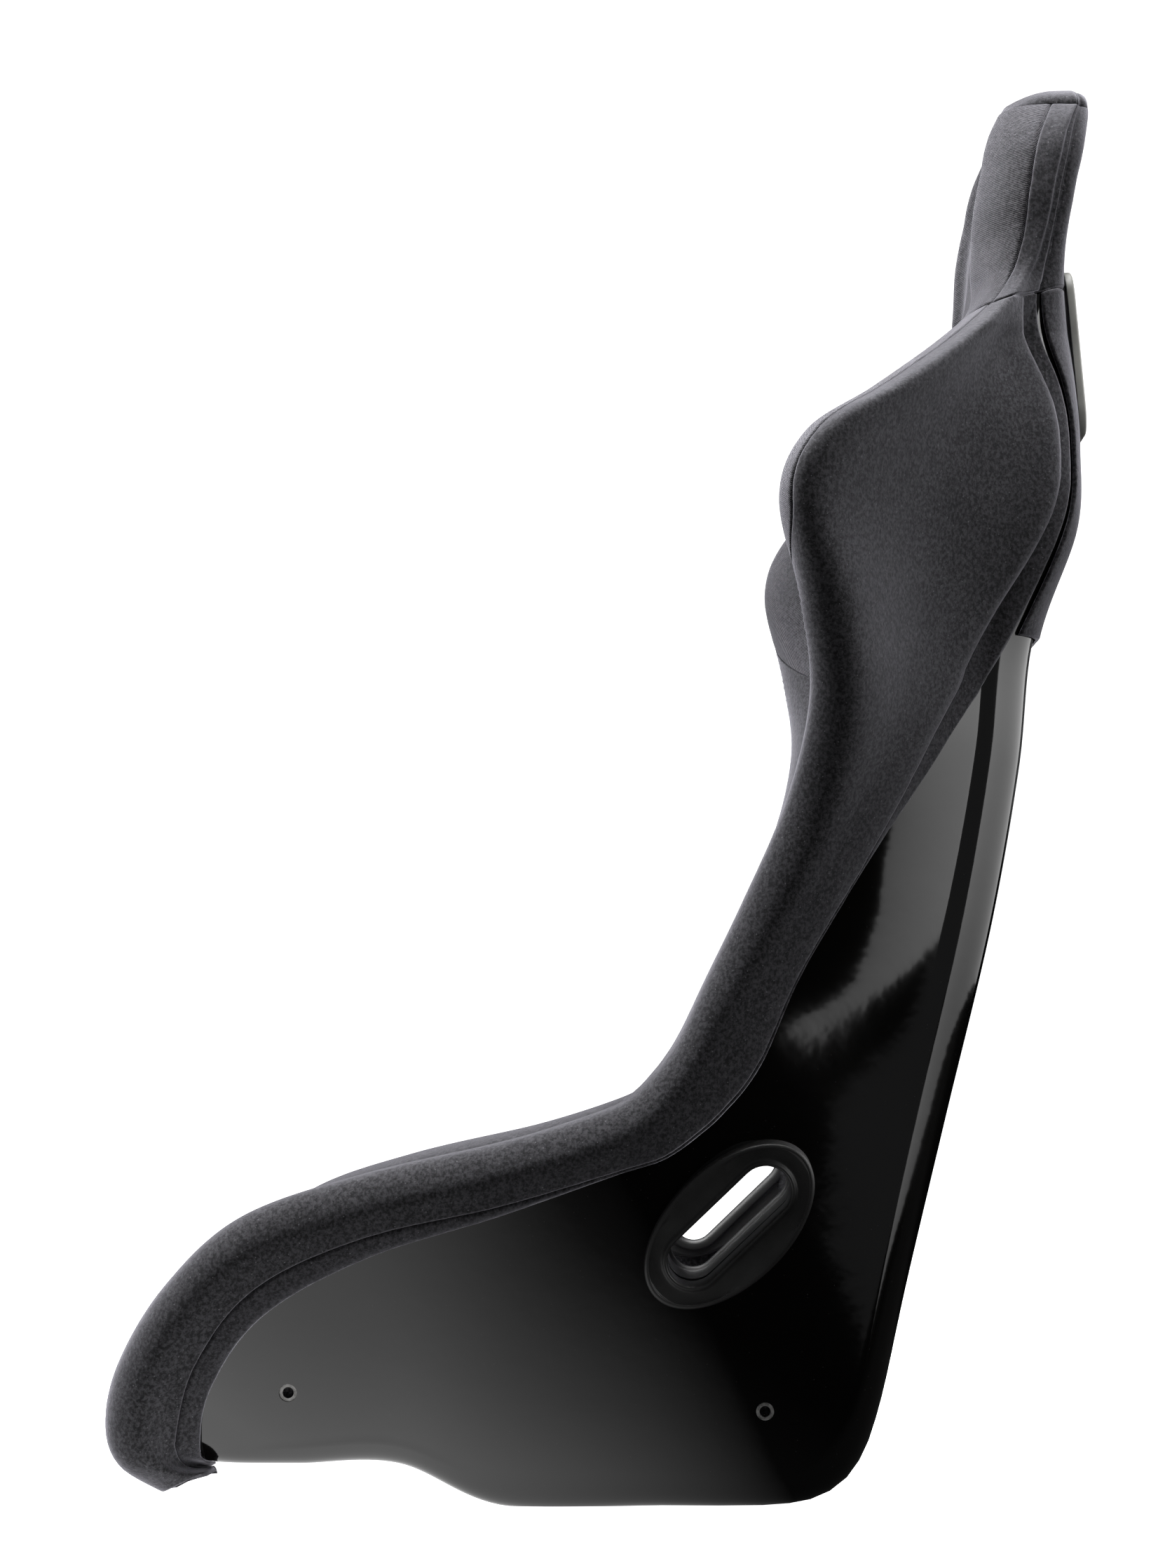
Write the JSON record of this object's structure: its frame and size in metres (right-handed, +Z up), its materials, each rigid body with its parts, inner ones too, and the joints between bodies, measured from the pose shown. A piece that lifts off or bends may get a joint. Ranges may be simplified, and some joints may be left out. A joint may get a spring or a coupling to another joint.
{
  "type": "racing seat",
  "caption": "Fixed-back bucket racing seat: glossy one-piece shell, velour pads, winged shoulder bolsters, harness slots with plastic trims, threaded side mounts, lift-out cushion.",
  "frame": {"origin": "middle of the bounding box in plan, on the plane that the flat base stands on", "axes": "+X to the seated occupant's left, +Y towards the back, +Z up"},
  "size_m": [0.5866, 0.6099, 0.896],
  "materials": {
    "shell": "polished gelcoat over glass-fibre laminate",
    "velour": "short-pile velour",
    "velour_dark": "short-pile velour, darker",
    "velour_ribbed": "finely ribbed velour",
    "foam": "open-cell cushion foam",
    "trim_black": "satin moulded plastic",
    "trim_grey": "satin moulded plastic",
    "insert": "zinc-plated steel",
    "plate": "black primer",
    "tape": "woven hook and loop tape"
  },
  "bodies": {
    "seat": {"shell_pan": "shell", "shell_back": "shell", "shell_upper_back": "shell", "shell_head": "shell", "shell_thigh_side_left": "shell", "shell_thigh_side_right": "shell", "shell_hip_side_left": "shell", "shell_hip_side_right": "shell", "shell_torso_side_left": "shell", "shell_torso_side_right": "shell", "shell_wing_side_left": "shell", "shell_wing_side_right": "shell", "shell_head_side_left": "shell", "shell_head_side_right": "shell", "side_inserts_left": "insert", "side_plate_left": "plate", "thigh_foam_left": "foam", "hip_upper_foam_left": "foam", "hip_lower_foam_left": "foam", "torso_foam_left": "foam", "shoulder_foam_left": "foam", "side_cover_left": "velour", "rim_band_left": "velour_dark", "wing_inner_cover_left": "velour_ribbed", "side_bezel_outer_left": "trim_black", "side_bezel_inner_left": "trim_black", "shoulder_bezel_front_left": "trim_black", "shoulder_bezel_rear_left": "trim_grey", "side_inserts_right": "insert", "side_plate_right": "plate", "thigh_foam_right": "foam", "hip_upper_foam_right": "foam", "hip_lower_foam_right": "foam", "torso_foam_right": "foam", "shoulder_foam_right": "foam", "side_cover_right": "velour", "rim_band_right": "velour_dark", "wing_inner_cover_right": "velour_ribbed", "side_bezel_outer_right": "trim_black", "side_bezel_inner_right": "trim_black", "shoulder_bezel_front_right": "trim_black", "shoulder_bezel_rear_right": "trim_grey", "nose_foam": "foam", "back_foam": "foam", "upper_back_foam": "foam", "head_foam": "foam", "head_crown": "velour_dark", "nose_cover": "velour", "back_cover": "velour", "rear_cover": "velour_dark", "head_front_cover": "velour_ribbed", "head_rear_cover": "velour_dark", "pan_hook_strips": "tape", "crotch_bezel_lower": "trim_black"},
    "seat_cushion": {"cushion_foam": "foam", "cushion_cover": "velour", "cushion_loop_strips": "tape", "crotch_bezel_upper": "trim_black"}
  },
  "joints": [
    {"name": "cushion_lift", "type": "slide", "parent": "seat", "child": "seat_cushion", "axis": [0, -0.3987, 0.9171], "range_m": [0, 0.35]}
  ]
}
